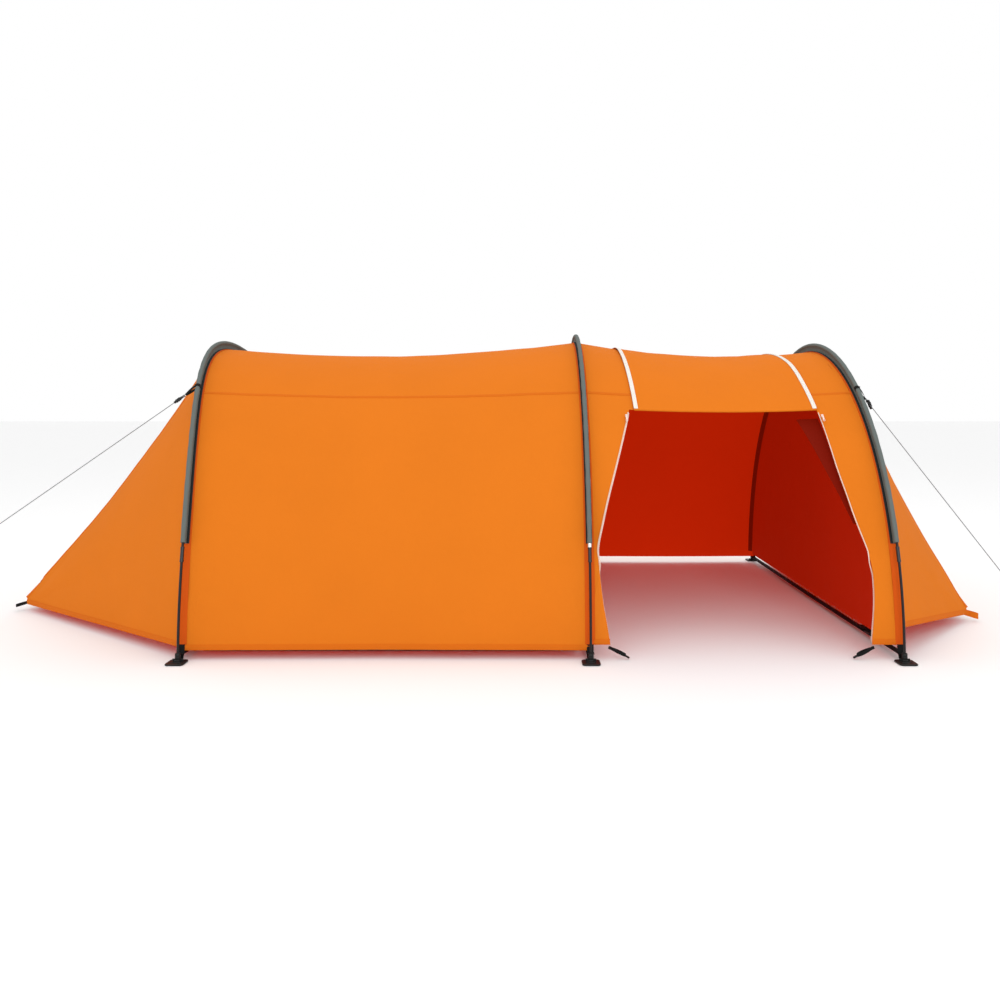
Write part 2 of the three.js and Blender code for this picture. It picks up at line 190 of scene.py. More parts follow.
def cloth_material(name, color, roughness=0.85, glow=0.0, glow_color=None, crinkle=0.5):
    """Coated taffeta: a fine weave, soft crinkles and a faint change of tone; glow adds an emission that
    paints the light shining through the cloth.
    """
    m = Nodes(name, color, roughness)
    uv = m.coordinates("UV")
    place = m.coordinates("Object")
    m.tint(m.noise(place, 3.5, 4.0), 0.955, 1.045)
    weave = m.math("MULTIPLY", m.wave(uv, 210.0, "X"), m.wave(uv, 210.0, "Y"))
    creases = m.noise(place, 16.0, 5.0)
    m.bump(m.math("ADD", m.math("MULTIPLY", weave, 0.05), creases), crinkle, 0.004)
    m.shader.inputs["Specular IOR Level"].default_value = 0.08
    if glow:
        m.shader.inputs["Emission Color"].default_value = (*glow_color, 1)
        m.shader.inputs["Emission Strength"].default_value = glow
    return m.material


def web_material(name, color, rib=900.0):
    """Woven webbing or tape, with rib / 2 pi ribs to the metre across its width."""
    m = Nodes(name, color, 0.8)
    ribs = m.wave(m.coordinates("UV"), rib / 6.28, "X")
    m.tint(ribs, 0.7, 1.25)
    m.bump(ribs, 0.5, 0.0008)
    m.shader.inputs["Specular IOR Level"].default_value = 0.15
    return m.material


def plastic_material(name, color, roughness=0.45, grain=700.0):
    m = Nodes(name, color, roughness)
    place = m.coordinates("Object")
    m.tint(m.noise(place, 40.0, 3.0), 0.8, 1.25)
    m.bump(m.noise(place, grain, 2.0), 0.25, 0.0004)
    m.shader.inputs["Specular IOR Level"].default_value = 0.3
    return m.material


def metal_material(name, color, roughness):
    m = Nodes(name, color, roughness, metallic=1.0)
    place = m.coordinates("Object", (1, 1, 0.08))
    streaks = m.noise(place, 900.0, 2.0)
    m.tint(streaks, 0.85, 1.1)
    m.bump(streaks, 0.1, 0.0002)
    return m.material


ORANGE = (0.680, 0.172, 0.0105)
# Emission colour of the painted glow: light shining through the cloth, painted onto inside faces rather
# than cast by a lamp.
PAINTED_GLOW = (0.50, 0.018, 0.0006)
MATERIALS = {
    "fly": cloth_material("fly_cloth", ORANGE),
    # Inside faces: the darker red base is painted shade and the emission a painted glow of light through
    # the cloth.
    "fly_inside_painted_glow": cloth_material("fly_cloth_inside_painted_glow", (0.47, 0.022, 0.001), glow=0.49, glow_color=PAINTED_GLOW),
    "fly_seam": cloth_material("fly_seam", (0.630, 0.140, 0.008), crinkle=0.25),
    "hoop_seam": cloth_material("hoop_seam", (0.60, 0.085, 0.006), crinkle=0.25),
    # Partitions: the dark red base is painted shade and the emission a painted glow of light through the
    # cloth.
    "partition": cloth_material("partition_cloth_painted_shade_glow", (0.34, 0.008, 0.0005), glow=0.30, glow_color=PAINTED_GLOW),
    "sleeve": cloth_material("sleeve_cloth", (0.130, 0.150, 0.142), crinkle=0.35),
    "sleeve_edge": web_material("sleeve_edge", (0.022, 0.026, 0.026)),
    "webbing": web_material("webbing", (0.008, 0.008, 0.008)),
    "pole": plastic_material("pole_fibreglass", (0.007, 0.006, 0.007), 0.35, 1500.0),
    "ferrule": metal_material("ferrule_metal", (0.055, 0.055, 0.06), 0.38),
    "plastic": plastic_material("moulded_black", (0.009, 0.009, 0.009)),
    "bright": metal_material("ferrule_ring", (0.80, 0.80, 0.80), 0.3),
    "zip": web_material("zip_tape", (0.86, 0.78, 0.72), 1200.0),
    "zip_edge": web_material("zip_edge", (0.80, 0.60, 0.48), 1200.0),
    "zip_teeth": plastic_material("zip_teeth", (0.82, 0.66, 0.60), 0.4),
    "slider": plastic_material("zip_slider", (0.80, 0.62, 0.56), 0.35),
    # Near-black red with a faint painted glow: painted shadow for the dark sheet behind the right zip and
    # the strip inside the right hoop.
    "painted_shadow": cloth_material("painted_shadow_cloth", (0.13, 0.004, 0.0005), 0.85, 0.13, PAINTED_GLOW, 0.25),
    "floor": cloth_material("groundsheet", (0.055, 0.065, 0.072), 0.6),
    "cord": web_material("guyline_cord", (0.23, 0.24, 0.25), 1500.0),
}

# ---- the tent's surface


def hoop_points(hoop, angle, out=0.0):
    """Points on a hoop's half ellipse of fabric: angle 0 is the near ground line and pi the far one."""
    angle = np.asarray(angle, float)
    normal = np.stack([-np.cos(angle) / HALF_SPAN, np.sin(angle) / hoop["height"]], -1)
    normal /= np.linalg.norm(normal, axis=-1, keepdims=True)
    out = np.asarray(out, float) * np.ones_like(angle)
    return np.stack([
        hoop["x"] + hoop["lean"] * np.sin(angle) ** 3,
        -HALF_SPAN * np.cos(angle) + normal[..., 0] * out,
        hoop["height"] * np.sin(angle) + normal[..., 1] * out,
    ], -1)


def bay_points(bay, along, angle, out=0.0):
    """Points on the cloth between two hoops, which sags most half-way along the roof."""
    along = np.asarray(along, float)
    sag = np.sin(math.pi * along) * (WALL_SAG + (ROOF_SAG - WALL_SAG) * np.sin(angle) ** 4)
    first = hoop_points(HOOPS[bay[0]], angle, out - sag)
    second = hoop_points(HOOPS[bay[1]], angle, out - sag)
    return first + (second - first) * along[..., None]


def angle_at(height, bay, along):
    """The angle at which the near side of a bay reaches a height."""
    first, second = (HOOPS[name]["height"] for name in bay)
    return np.arcsin(height / (first + (second - first) * np.asarray(along, float)))


def porch_along(x):
    """x in the porch as a share of the way from its first hoop to its second."""
    return (np.asarray(x, float) - HOOPS["middle"]["x"]) / (HOOPS["right"]["x"] - HOOPS["middle"]["x"])


def mix(a, b, t):
    return a + (b - a) * t


def unit(vectors):
    return vectors / np.linalg.norm(vectors, axis=-1, keepdims=True)


def run_length(line):
    """Distance along a line, at each of its points."""
    return np.concatenate([[0], np.cumsum(np.linalg.norm(np.diff(line, axis=0), axis=1))])


def grid_axes(columns, rows, first=(0.0, 1.0), second=(0.0, 1.0)):
    """Two full arrays over a grid: one runs from column to column, the other from row to row."""
    i = np.linspace(*first, columns + 1)[:, None] * np.ones(rows + 1)
    j = np.linspace(*second, rows + 1)[None, :] * np.ones((columns + 1, 1))
    return i, j


def smooth_line(points, count):
    """A Catmull-Rom curve through the points, evenly stepped in its own parameter."""
    points = np.asarray(points, float)
    padded = np.concatenate([[2 * points[0] - points[1]], points, [2 * points[-1] - points[-2]]])
    place = np.linspace(0, len(points) - 1, count)
    k = np.minimum(place.astype(int), len(points) - 2)
    t = (place - k)[:, None]
    a, b, c, d = (padded[k + step] for step in range(4))
    bend, turn = 2 * a - 5 * b + 4 * c - d, 3 * b - a - 3 * c + d
    return 0.5 * (2 * b + (c - a) * t + bend * t ** 2 + turn * t ** 3)


def ripple(points, size):
    """Soft creases as a sum of a few slow waves, from about -1 to 1, the same on every run."""
    x, y, z = (points[..., k] / size for k in range(3))
    total = np.sin(2.1 * x + 1.3 * z + 0.7 * y)
    total += 0.7 * np.sin(3.7 * z - 1.9 * x + 1.1 + 0.8 * np.sin(1.7 * x))
    total += 0.5 * np.sin(5.3 * x + 4.1 * y - 2.3 * z + 2.0)
    total += 0.3 * np.sin(9.1 * z + 6.7 * x + 3.0 * y)
    return total / 2.5


def pulls(points, anchors, reach):
    """Creases that fan out of the points where the cloth is held."""
    total = np.zeros(points.shape[:-1])
    for anchor, toward in anchors:
        away = points - np.asarray(anchor, float)
        distance = np.linalg.norm(away, axis=-1) + 1e-6
        side = np.cross(np.asarray(toward, float), away)
        turn = np.linalg.norm(side, axis=-1) * np.sign(side.sum(-1)) / distance
        total += np.sin(15 * turn) * np.exp(-distance / reach) * np.minimum(distance / 0.14, 1) ** 2
    return total


def link(obj):
    bpy.context.scene.collection.objects.link(obj)
    return obj


def mesh_object(name, points, faces, materials, uvs, face_materials=None):
    mesh = bpy.data.meshes.new(name)
    mesh.from_pydata([tuple(p) for p in points], [], [tuple(f) for f in faces])
    for material in materials:
        mesh.materials.append(MATERIALS[material])
    if face_materials is not None:
        mesh.polygons.foreach_set("material_index", face_materials)
    mesh.polygons.foreach_set("use_smooth", [True] * len(mesh.polygons))
    layer = mesh.uv_layers.new(name="UVMap")
    loops = np.empty(len(mesh.loops), int)
    mesh.loops.foreach_get("vertex_index", loops)
    layer.data.foreach_set("uv", np.asarray(uvs, float)[loops].ravel())
    mesh.update()
    mesh.set_sharp_from_angle(angle=math.radians(50))
    return link(bpy.data.objects.new(name, mesh))


def grid_normals(points):
    along = np.gradient(points, axis=0)
    across = np.gradient(points, axis=1)
    normal = np.cross(along, across)
    return normal / np.maximum(np.linalg.norm(normal, axis=-1, keepdims=True), 1e-12)


def arc_lengths(points):
    """Distances along and across a grid, used as its UV map, in metres."""
    u = np.zeros(points.shape[:2])
    v = np.zeros(points.shape[:2])
    u[1:] = np.cumsum(np.linalg.norm(np.diff(points, axis=0), axis=-1), axis=0)
    v[:, 1:] = np.cumsum(np.linalg.norm(np.diff(points, axis=1), axis=-1), axis=1)
    return np.stack([u, v], -1)


def shell(name, points, thickness, outside, inside=None):
    """A closed thin solid from a grid of outer points whose normals point out of the tent."""
    columns, rows = points.shape[0] - 1, points.shape[1] - 1
    inner = points - grid_normals(points) * thickness
    count = points.shape[0] * points.shape[1]
    index = np.arange(count).reshape(points.shape[:2])
    a, b = index[:-1, :-1].ravel(), index[1:, :-1].ravel()
    c, d = index[1:, 1:].ravel(), index[:-1, 1:].ravel()
    outer_faces = np.stack([a, b, c, d], 1)
    inner_faces = np.stack([d, c, b, a], 1) + count
    rim = np.concatenate([index[:-1, 0], index[-1, :-1], index[:0:-1, -1], index[0, :0:-1]])
    after = np.roll(rim, -1)
    rim_faces = np.stack([after, rim, rim + count, after + count], 1)
    faces = np.concatenate([outer_faces, inner_faces, rim_faces])
    which = np.concatenate([np.zeros(len(a), int), np.ones(len(a), int) * (inside is not None),
                            np.zeros(len(rim), int)])
    uv = arc_lengths(points).reshape(-1, 2)
    solid = mesh_object(
        name, np.concatenate([points.reshape(-1, 3), inner.reshape(-1, 3)]), faces,
        [outside] + ([inside] if inside else []), np.concatenate([uv, uv]), which,
    )
    solid["area"] = float(sheet_area(points))
    return solid


def sheet_area(points):
    one = np.cross(points[1:, :-1] - points[:-1, :-1], points[:-1, 1:] - points[:-1, :-1])
    two = np.cross(points[1:, 1:] - points[1:, :-1], points[1:, 1:] - points[:-1, 1:])
    return (np.linalg.norm(one, axis=-1).sum() + np.linalg.norm(two, axis=-1).sum()) / 2


def flat_of(points):
    uv = arc_lengths(points)
    return (float(uv[..., 0].max()), float(uv[..., 1].max()))


GRIDS = {}  # each cloth panel's outer surface, for the seams and hems along its edges


def cloth(name, points, node, outside="fly", inside="fly_inside_painted_glow"):
    """A cloth panel of the standing tent, in place of its CAD solid; its inside faces default to the darker
    red material with a painted glow of light through the cloth.
    """
    GRIDS[name] = points
    piece = shell(name, points, CLOTH, outside, inside)
    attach(piece, "tent")
    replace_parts(piece, node)
    flat_of(points)


def ribbon(name, line, normals, width, lift, material, thickness=0.0012):
    """A narrow flat strip along a line, such as a seam, hem or tape, proud of the surface by lift."""
    line = np.asarray(line, float)
    normals = unit(normals)
    side = unit(np.cross(normals, unit(np.gradient(line, axis=0))))
    across = np.linspace(-0.5, 0.5, 5)
    crown = lift * (1 - (2 * across) ** 4 * 0.6)
    points = (line[:, None] + side[:, None] * (across * width)[None, :, None]
              + normals[:, None] * crown[None, :, None])
    if np.einsum("ijk,ik->", grid_normals(points), normals) < 0:
        points = points[:, ::-1]
    piece = shell(name, points, thickness, material)
    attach(piece, "tent")
    return piece


def ring_faces(rings, sides):
    """Faces between neighbouring rings of points, and one across each end."""
    faces = []
    for k in range(rings - 1):
        for s in range(sides):
            t = (s + 1) % sides
            faces.append((k * sides + s, k * sides + t, (k + 1) * sides + t, (k + 1) * sides + s))
    faces.append(tuple(range(sides))[::-1])
    faces.append(tuple((rings - 1) * sides + s for s in range(sides)))
    return faces


def tube(name, line, radius, sides, material):
    """A round rod along a line, with its section kept square to it."""
    line = np.asarray(line, float)
    along = unit(np.gradient(line, axis=0))
    reference = np.array([1.0, 0, 0]) if abs(along[0][0]) < 0.8 else np.array([0, 0, 1.0])
    side = unit(np.cross(along, reference))
    up = np.cross(side, along)
    turn = np.linspace(0, 2 * math.pi, sides, endpoint=False)
    radius = np.asarray(radius, float) * np.ones(len(line))
    rings = (line[:, None] + side[:, None] * (np.cos(turn)[None, :, None] * radius[:, None, None])
             + up[:, None] * (np.sin(turn)[None, :, None] * radius[:, None, None]))
    uv = np.stack([np.repeat(run_length(line), sides), np.tile(turn * float(radius.mean()), len(line))], -1)
    piece = mesh_object(name, rings.reshape(-1, 3), ring_faces(len(line), sides), [material], uv)
    outward_normals(piece)
    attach(piece, "tent")
    return piece


def outward_normals(obj):
    edit = bmesh.new()
    edit.from_mesh(obj.data)
    bmesh.ops.recalc_face_normals(edit, faces=edit.faces)
    edit.to_mesh(obj.data)
    edit.free()


# ---- bays

FEET = [((hoop["x"], y, HEM_HEIGHT), (0, 0, 1)) for hoop in HOOPS.values() for y in (-HALF_SPAN, HALF_SPAN)]
CREASE_SIZE = 0.16


def creased(points, pull=0.0034):
    """Small soft creases all over, and creases that fan out of the tent's feet."""
    amount = 0.0016 * ripple(points, CREASE_SIZE) + pull * pulls(points, FEET, CREASE_SIZE)
    return points + grid_normals(points) * amount[..., None]


def bay_grid(bay, low, high, columns, rows):
    i, j = grid_axes(columns, rows)
    return creased(bay_points(bay, i, mix(low(i), high(i), j)))


def height_line(height, bay, far=False):
    """A line of constant height along a bay, as the angle at each share of the way."""
    if far:
        return lambda along: math.pi - angle_at(height, bay, along)
    return lambda along: angle_at(height, bay, along)


BAYS = {"bedroom": (BEDROOM, SEAM_HEIGHT), "porch": (PORCH, DOOR_FOLD)}
for bay_name, (bay, roof_foot) in BAYS.items():
    far_seam = height_line(SEAM_HEIGHT, bay, True)
    roof = bay_grid(bay, height_line(roof_foot, bay), far_seam, 72, 72)
    cloth(f"{bay_name}_roof_cloth", roof, f"{bay_name}_roof")
    far_wall = bay_grid(bay, far_seam, height_line(HEM_HEIGHT, bay, True), 72, 48)
    cloth(f"{bay_name}_far_cloth", far_wall, f"{bay_name}_wall_far")
near_wall = bay_grid(BEDROOM, height_line(HEM_HEIGHT, BEDROOM), height_line(SEAM_HEIGHT, BEDROOM), 84, 52)
cloth("bedroom_near_cloth", near_wall, "bedroom_wall_near")

EDGE_ROUNDING = np.linspace(-0.04, 0.04, 9)


def edge_x(edges, height):
    """x of an opening's edge at a height: straight runs between its points, with rounded corners."""
    heights, places = np.array(edges).T
    return sum(np.interp(height + shift, heights, places) for shift in EDGE_ROUNDING) / len(EDGE_ROUNDING)


def jamb_drape(height):
    """How far in a slack jamb hangs at the doorway's edge."""
    share = (height - JAMB_HEM) / (DOOR_FOLD - JAMB_HEM)
    return 0.006 * np.sin(9 * height + 1.0) * np.sin(math.pi * share)


def jamb_grid(side, columns=26, rows=90):
    """The strip of cloth between a hoop and the doorway's edge, slack towards the doorway."""
    i, j = grid_axes(columns, rows)
    height = mix(JAMB_HEM, DOOR_FOLD, j)
    edge = porch_along(edge_x(JAMB_EDGES[side], height))
    along = mix(0.0, edge, i) if side == "left" else mix(edge, 1.0, i)
    loose = i if side == "left" else 1 - i
    drape = jamb_drape(height) * loose ** 2
    points = bay_points(PORCH, along, angle_at(height, PORCH, along), -drape)
    return creased(points, pull=0.003)


for side, hoop_name in (("left", "middle"), ("right", "right")):
    cloth(f"jamb_{side}_cloth", jamb_grid(side), f"porch_jamb_{side}")

# ---- apses


def apse_points(apse, angle, r, corner_y, corner_z):
    """Points on straight lines from the hoop to the apse's ground corners, with some sag."""
    start = hoop_points(HOOPS[apse["hoop"]], angle)
    corner = np.stack([np.full_like(r, apse["tip"]), apse["half_tip"] * corner_y, corner_z], -1)
    points = start + (corner - start) * r[..., None]
    sag = APSE_SAG * np.sin(math.pi * r) * np.minimum(1, start[..., 2] / 0.4)
    points[..., 0] -= apse["side"] * sag
    return points


def apse_panel(name, panel, columns=64, rows=40):
    apse = APSES[name]
    start = math.asin(apse["hoop_hem"] / HOOPS[apse["hoop"]]["height"])
    low, high, y0, y1, z0, z1 = {
        "near": (start, APSE_SEAM, -1, -1, CORNER_LOW, CORNER_HIGH),
        "end": (APSE_SEAM, math.pi - APSE_SEAM, -1, 1, CORNER_HIGH, CORNER_HIGH),
        "far": (math.pi - APSE_SEAM, math.pi - start, 1, 1, CORNER_HIGH, CORNER_LOW),
    }[panel]
    i, j = grid_axes(columns, rows)
    r = 1 - i if apse["side"] < 0 else i
    points = apse_points(apse, mix(low, high, j), r, mix(y0, y1, j), mix(z0, z1, j))
    up_the_cloth = (-apse["side"] * 0.6, 0, 0.8)
    anchors = [((apse["tip"], side * apse["half_tip"], CORNER_LOW), up_the_cloth) for side in (-1, 1)]
    calm = np.minimum(np.minimum(r, 1 - r) / 0.08, 1)
    amount = 0.002 * ripple(points, 0.2) + 0.0035 * pulls(points, anchors, 0.28)
    return points + grid_normals(points) * (amount * calm)[..., None]


for apse_name in APSES:
    for panel in ("near", "end", "far"):
        node = f"apse_{apse_name}_{panel}"
        cloth(f"{node}_cloth", apse_panel(apse_name, panel), node)

# ---- seams and hems


SEAM_WIDTH = 0.012
SEAM_LIFT = 0.0016
HEM_WIDTH = 0.018
HEM_INSET = 0.010
ROW_EDGES = {"first": (0, 1), "last": (-1, -2)}  # an edge's row of a grid, and the row next to it


def edge_ribbon(name, panel, edge, width, inset=0.0):
    """A ribbon along the first or last row of a cloth panel."""
    grid = GRIDS[f"{panel}_cloth"]
    row, inner = ROW_EDGES[edge]
    line, normal = grid[:, row], grid_normals(grid)[:, row]
    inward = grid[:, inner] - line
    inward /= np.maximum(np.linalg.norm(inward, axis=-1, keepdims=True), 1e-9)
    ribbon(name, line + inward * inset, normal, width, SEAM_LIFT, "fly_seam")


SEWN = [("bedroom_far", "first", "last"), ("porch_far", "first", "last"), ("bedroom_near", "last", "first")]
for apse_name in APSES:
    SEWN.append((f"apse_{apse_name}_near", "last", "first"))
    SEWN.append((f"apse_{apse_name}_far", "first", "last"))
for panel, seam_edge, hem_edge in SEWN:
    edge_ribbon(f"{panel}_seam", panel, seam_edge, SEAM_WIDTH)
    edge_ribbon(f"{panel}_hem", panel, hem_edge, HEM_WIDTH, HEM_INSET)
for side in ("left", "right"):
    edge_ribbon(f"jamb_{side}_hem", f"jamb_{side}", "first", HEM_WIDTH, HEM_INSET)

# The porch roof's seam, which the thrown-back door covers in the middle.
along_left = np.linspace(0, float(porch_along(DOOR_LEFT[0] + 0.002)), 24)
along_right = np.linspace(float(porch_along(DOOR_RIGHT[0] - 0.002)), 1, 24)
for name, along in (("porch_near_seam_left", along_left), ("porch_near_seam_right", along_right)):
    angle = angle_at(SEAM_HEIGHT, PORCH, along)
    line = bay_points(PORCH, along, angle)
    ribbon(name, line, bay_points(PORCH, along, angle, 0.01) - line, SEAM_WIDTH, SEAM_LIFT, "fly_seam")

# ---- poles, sleeves and ferrules


POLE_START = 0.008
SLEEVE_STEPS = 150
SLEEVE_WEB = 0.0017  # half the thickness of the flat web below the pole
STITCH_SIDE = 0.006
FERRULE = {"radius": 0.0058, "lip": 0.0006, "half": 0.024, "below_sleeve": 0.036}
RING = {"radius": 0.0070, "half": 0.006, "below_sleeve": 0.008}


def pole_line(hoop, low, high, steps):
    return hoop_points(hoop, np.linspace(low, high, steps + 1), POLE_OFFSET)


def leg_angle(hoop, height, side):
    """The angle at which a hoop's near or far leg reaches a height."""
    angle = math.asin(height / hoop["height"])
    return angle if side == "near" else math.pi - angle


def sleeve_section():
    """Teardrop round the pole with a flat web down to the fabric, as (sideways, outwards) pairs."""
    turn = np.linspace(math.radians(-62), math.radians(242), 15)
    loop = [(SLEEVE_RADIUS * math.cos(a), SLEEVE_RADIUS * math.sin(a)) for a in turn]
    root, neck = -POLE_OFFSET + 0.0012, -0.016
    right, left = ([(x, root), (x, neck)] for x in (SLEEVE_WEB, -SLEEVE_WEB))
    return np.array(right + loop + left[::-1])


def add_sleeve(name, hoop):
    start = math.asin(SLEEVE_END / hoop["height"])
    angles = np.linspace(start, math.pi - start, SLEEVE_STEPS + 1)
    centre = hoop_points(hoop, angles, POLE_OFFSET)
    outward = unit(hoop_points(hoop, angles, POLE_OFFSET + 0.01) - centre)
    side = np.cross(unit(np.gradient(centre, axis=0)), outward)
    section = sleeve_section()
    pucker = 1 + 0.05 * np.sin(angles * 97) + 0.04 * np.sin(angles * 61 + 1)
    rings = (centre[:, None] + side[:, None] * (section[:, 0][None] * pucker[:, None])[..., None]
             + outward[:, None] * (section[:, 1][None] * np.ones(len(angles))[:, None])[..., None])
    uv = np.broadcast_arrays(run_length(centre)[:, None], run_length(section)[None])
    piece = mesh_object(f"sleeve_{name}_cloth", rings.reshape(-1, 3), ring_faces(len(rings), len(section)),
                        ["sleeve"], np.stack(uv, -1).reshape(-1, 2))
    outward_normals(piece)
    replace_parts(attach(piece, "tent"), f"sleeve_{name}")
    for label, sign in (("inner", -1), ("outer", 1)):
        line = hoop_points(hoop, angles, 0.0022) + side * sign * STITCH_SIDE
        ribbon(f"sleeve_{name}_stitch_{label}", line, outward, 0.009, 0.0012, "sleeve_edge")


def add_ferrule(name, hoop, side):
    """The metal tube round a joint in the pole, with a lip at each end."""
    middle = leg_angle(hoop, SLEEVE_END - FERRULE["below_sleeve"], side)
    half = FERRULE["half"] / hoop["height"]
    lips = FERRULE["radius"] + FERRULE["lip"] * (np.abs(np.linspace(-1, 1, 13)) > 0.8)
    line = pole_line(hoop, middle - half, middle + half, 12)
    ferrule = tube(f"ferrule_{name}_{side}_tube", line, lips, 18, "ferrule")
    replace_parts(ferrule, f"ferrule_{name}_{side}")


for name, hoop in HOOPS.items():
    start = leg_angle(hoop, POLE_START, "near")
    rod = pole_line(hoop, start, math.pi - start, 140)
    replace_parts(tube(f"pole_{name}_rod", rod, POLE_RADIUS, 14, "pole"), f"pole_{name}")
    add_sleeve(name, hoop)
    for side in SIDES:
        add_ferrule(name, hoop, side)
for side in SIDES:
    tip = leg_angle(HOOPS["middle"], SLEEVE_END - RING["below_sleeve"], side)
    ring = pole_line(HOOPS["middle"], tip - RING["half"], tip + RING["half"], 4)
    tube(f"ferrule_middle_{side}_ring", ring, RING["radius"], 18, "bright")

# ---- door, thrown back over the roof

STRIPS = 4
DOOR_NAMES = ["tent"] + [f"door_{k + 1}" for k in range(STRIPS)]
DOOR_TAPES = {"left": (-0.002, 0.020), "right": (0.980, 1.002)}  # shares of the door's width
DOOR_HEM = (0.965, 1.0)  # shares of its length
BEND_REACH = 0.045  # the share of its length on each side of a hinge, measured in bend_door but not used to bend
FOLD_ROLL_RADIUS = 0.0045


def door_points(i, down, lift=DOOR_LIFT):
    """Points on the door as it lies on the roof: i runs across it, and down from the fold to the hem."""
    x = mix(mix(*DOOR_LEFT, down), mix(*DOOR_RIGHT, down), i)
    along = porch_along(x)
    angle = mix(angle_at(DOOR_FOLD, PORCH, along), DOOR_END, down)
    return bay_points(PORCH, along, angle, lift)


def door_wave(points, i, down):
    """The slack of the panel along its edges, largest away from the fold."""
    edge = (2 * i - 1) ** 4
    return 0.0022 * ripple(points, 0.11) + 0.004 * edge * down * np.sin(14 * down + 3 * i)


def door_grid(down_from, down_to, columns=44, rows=18, left=0.0, right=1.0, lift=DOOR_LIFT):
    i, down = grid_axes(columns, rows, (left, right), (down_from, down_to))
    points = door_points(i, down, lift)
    calm = np.clip(down / 0.06, 0, 1)
    return points + grid_normals(points) * (door_wave(points, i, down) * calm)[..., None]


def bend_door(piece, k):
    """Piece k spans the hinge between bodies k and k + 1 but stays where it lies, with its transform baked;
    the last one rides its own body.
    """
    if k == STRIPS:
        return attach(piece, DOOR_NAMES[STRIPS])
    shares = (max(k / STRIPS - BEND_REACH, 0.0), k / STRIPS + BEND_REACH)
    start, end = (tuple(map(float, door_points(np.array(0.5), np.array(share)))) for share in shares)
    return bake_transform(piece)


DOOR_CUTS = [0.0] + [(k + 0.5) / STRIPS for k in range(STRIPS)] + [1.0]
for k in range(STRIPS + 1):
    grid = door_grid(DOOR_CUTS[k], DOOR_CUTS[k + 1])
    panel = shell(f"door_panel_{k}_cloth", grid, CLOTH, "fly", "fly")
    bend_door(panel, k)
    if k < STRIPS:
        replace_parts(panel, f"door_strip_{k + 1}")
    flat_of(grid)
    for side, (left, right) in DOOR_TAPES.items():
        tape_grid = door_grid(DOOR_CUTS[k], DOOR_CUTS[k + 1], 4, 18, left, right, DOOR_LIFT + 0.0022)
        tape = shell(f"door_tape_{side}_{k}", tape_grid, 0.0018, "zip")
        bend_door(tape, k)
hem_piece = shell("door_hem", door_grid(*DOOR_HEM, 44, 4, lift=DOOR_LIFT + SEAM_LIFT), 0.0012, "fly_seam")
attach(hem_piece, DOOR_NAMES[STRIPS])

fold_along = np.linspace(float(porch_along(DOOR_LEFT[0])), float(porch_along(DOOR_RIGHT[0])), 50)
fold_angle = angle_at(DOOR_FOLD, PORCH, fold_along)
fold_line = bay_points(PORCH, fold_along, fold_angle, 0.0012)
tube("door_fold_roll", fold_line, FOLD_ROLL_RADIUS, 12, "fly")

# ---- zips on the jambs, with their sliders

ZIP_TURN = (0.26, 0.35)  # below the first height the tape lies behind the cloth's edge
ZIP_WIDTH = {"left": 0.0050, "right": 0.0032}
COIL_PITCH = 0.006


def jamb_line(side, low, high, steps, lift, inset):
    """A line up a jamb's edge, inset and lifted off the cloth, and the way out of the cloth along it."""
    height = np.linspace(low, high, steps + 1)
    turn = np.clip((ZIP_TURN[1] - height) / (ZIP_TURN[1] - ZIP_TURN[0]), 0, 1)
    turn = turn * turn * (3 - 2 * turn)
    inset = inset - (inset + 0.004) * np.sin(math.pi * turn)
    lift = mix(lift, -0.0055 - lift, turn) - jamb_drape(height)
    x = edge_x(JAMB_EDGES[side], height) + (-inset if side == "left" else inset)
    along = porch_along(x)
    angle = angle_at(height, PORCH, along)
    line = bay_points(PORCH, along, angle, lift)
    return line, bay_points(PORCH, along, angle, lift + 0.01) - line


def add_teeth(side, line, normals):
    """The coil: one small link for every few millimetres, joined into one mesh."""
    turns = 2 * math.pi * run_length(line) / COIL_PITCH
    normals = unit(normals)
    side_way = np.cross(normals, unit(np.gradient(line, axis=0)))
    wave = line + side_way * (0.0011 * np.sin(turns))[:, None] + normals * (0.0006 * np.cos(turns))[:, None]
    tube(f"zip_{side}_coil", wave, 0.0011, 6, "zip_teeth")


for side in ("left", "right"):
    half = ZIP_WIDTH[side] / 2
    line, normals = jamb_line(side, JAMB_HEM + 0.006, DOOR_FOLD - 0.012, 160, 0.0012, half)
    tape = ribbon(f"zip_{side}_tape", line, normals, 2 * half, 0.0012, "zip_edge")
    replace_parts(tape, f"zip_{side}")
    add_teeth(side, *jamb_line(side, JAMB_HEM + 0.010, DOOR_FOLD - 0.016, 620, 0.0030, 0.0004))


def bevelled_box(edit, size, matrix, centre, bevel, segments=3):
    """A rounded block in an open bmesh, with its centre and its sides in the matrix's own axes."""
    place = matrix @ Matrix.Translation(centre)
    made = bmesh.ops.create_cube(edit, size=1.0, matrix=place @ Matrix.Diagonal((*size, 1)))
    edges = {edge for vertex in made["verts"] for edge in vertex.link_edges}
    bmesh.ops.bevel(edit, geom=list(edges), offset=bevel, segments=segments, affect="EDGES", profile=0.6)


def bmesh_object(name, edit, material, body):
    mesh = bpy.data.meshes.new(name)
    edit.to_mesh(mesh)
    edit.free()
    mesh.materials.append(MATERIALS[material])
    mesh.polygons.foreach_set("use_smooth", [True] * len(mesh.polygons))
    piece = link(bpy.data.objects.new(name, mesh))
    outward_normals(piece)
    piece.data.set_sharp_from_angle(angle=math.radians(35))
    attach(piece, body)
    return piece


